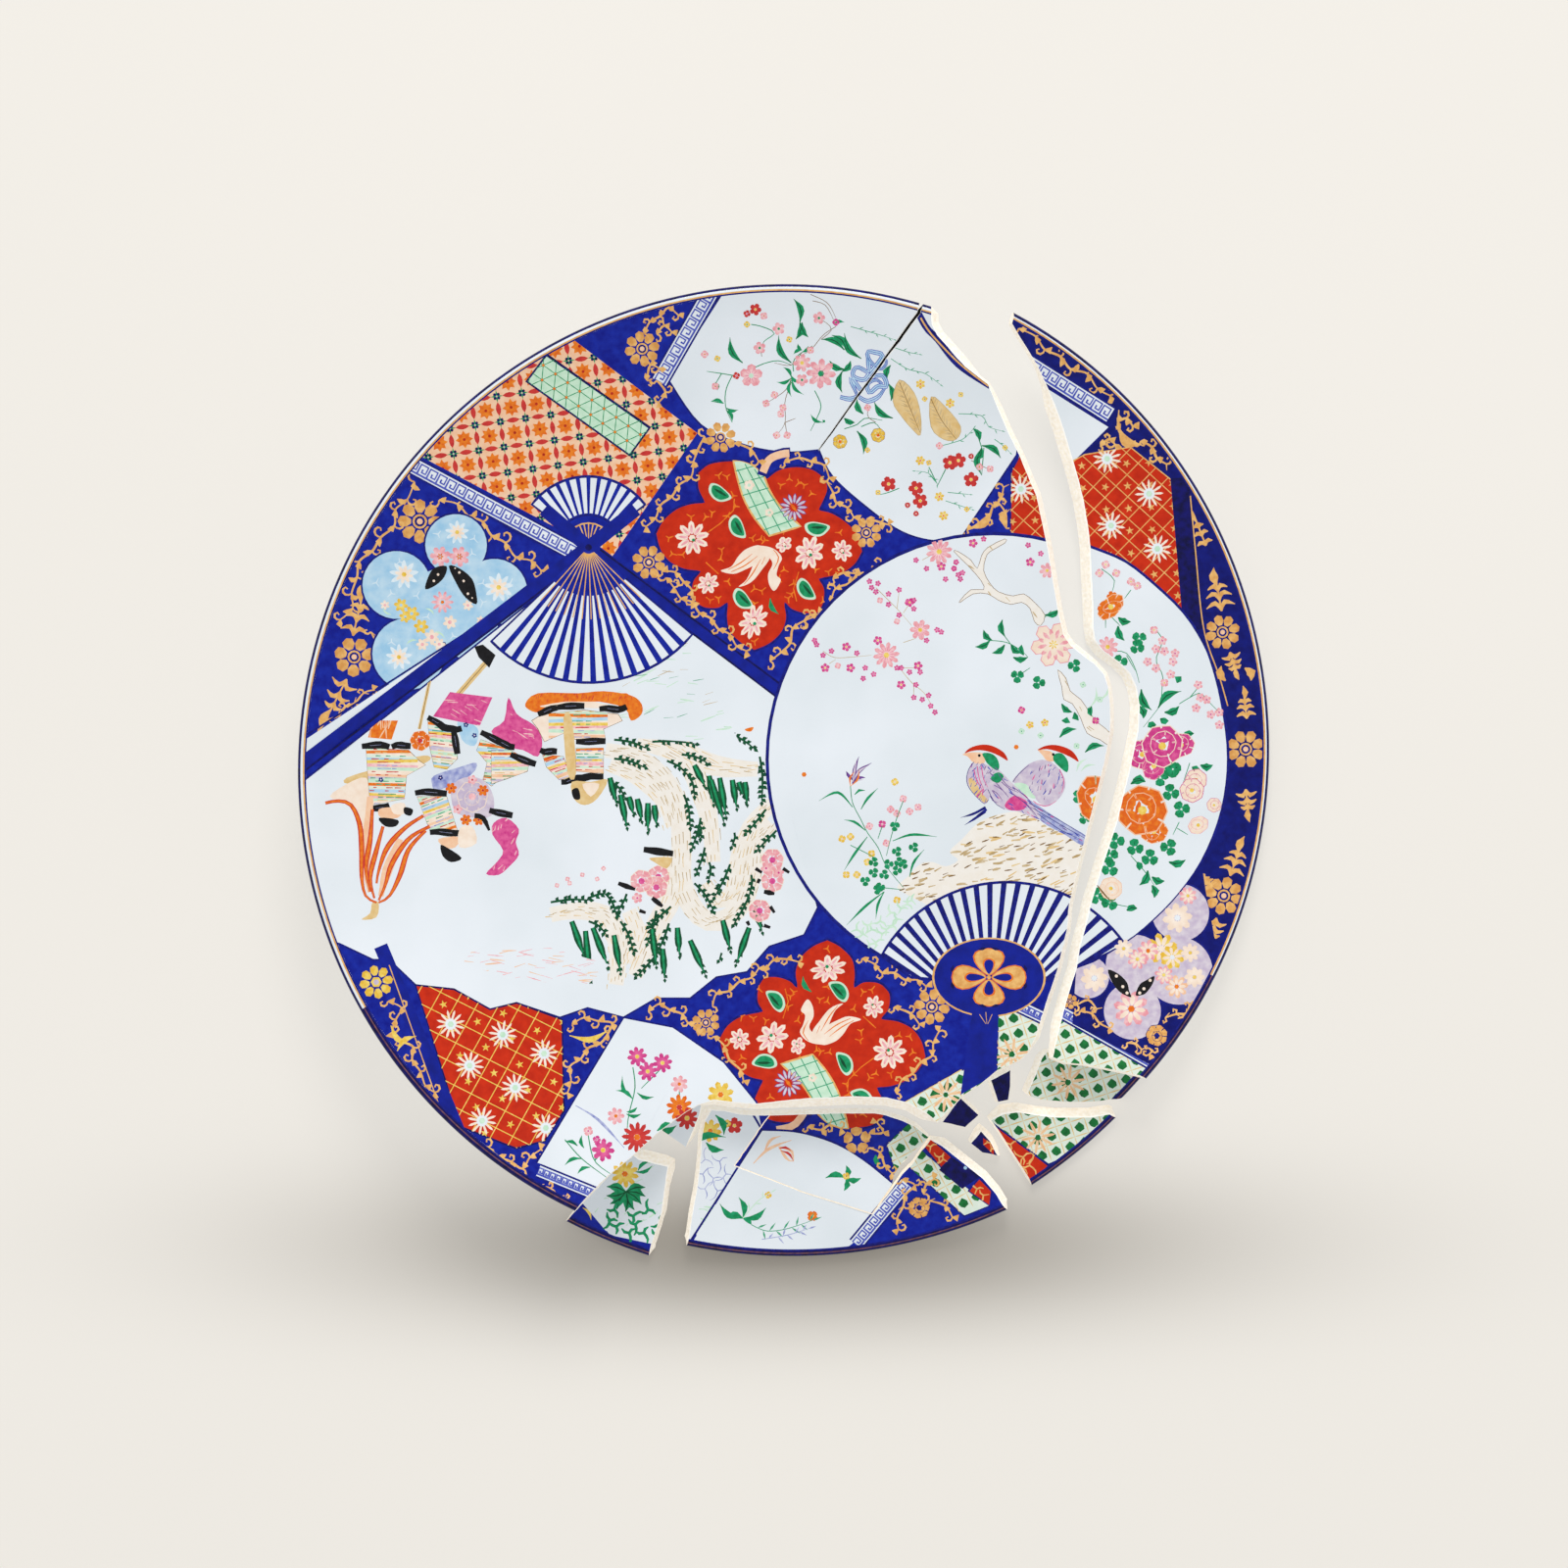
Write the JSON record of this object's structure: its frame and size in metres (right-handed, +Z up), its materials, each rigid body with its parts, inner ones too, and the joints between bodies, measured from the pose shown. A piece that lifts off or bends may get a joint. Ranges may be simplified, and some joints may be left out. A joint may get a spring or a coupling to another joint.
{
  "type": "broken plate",
  "caption": "Large round glazed porcelain charger with a foot ring and an allover painted pattern, broken, its pieces lying together.",
  "frame": {"origin": "centre of the unbroken plate, on the surface that all the pieces lie on", "axes": "+Z up, out of the decorated face; +Y towards the whole stretch of rim; +X towards the long loose side piece"},
  "size_m": [0.4597, 0.46, 0.049],
  "materials": {
    "painted_porcelain": "clear gloss glaze over cobalt blue, with overglaze enamels and gilding; breaks are matt cream-white body"
  },
  "bodies": {
    "root": {"main_shard": "painted_porcelain", "right_shard": "painted_porcelain", "bottom_shard": "painted_porcelain", "bottom_centre_shard": "painted_porcelain", "bottom_left_shard": "painted_porcelain", "tucked_chip": "painted_porcelain", "lower_right_outer_shard": "painted_porcelain", "lower_right_inner_shard": "painted_porcelain", "upper_sliver": "painted_porcelain", "lower_sliver": "painted_porcelain", "fan_handle_shard": "painted_porcelain"}
  },
  "joints": []
}
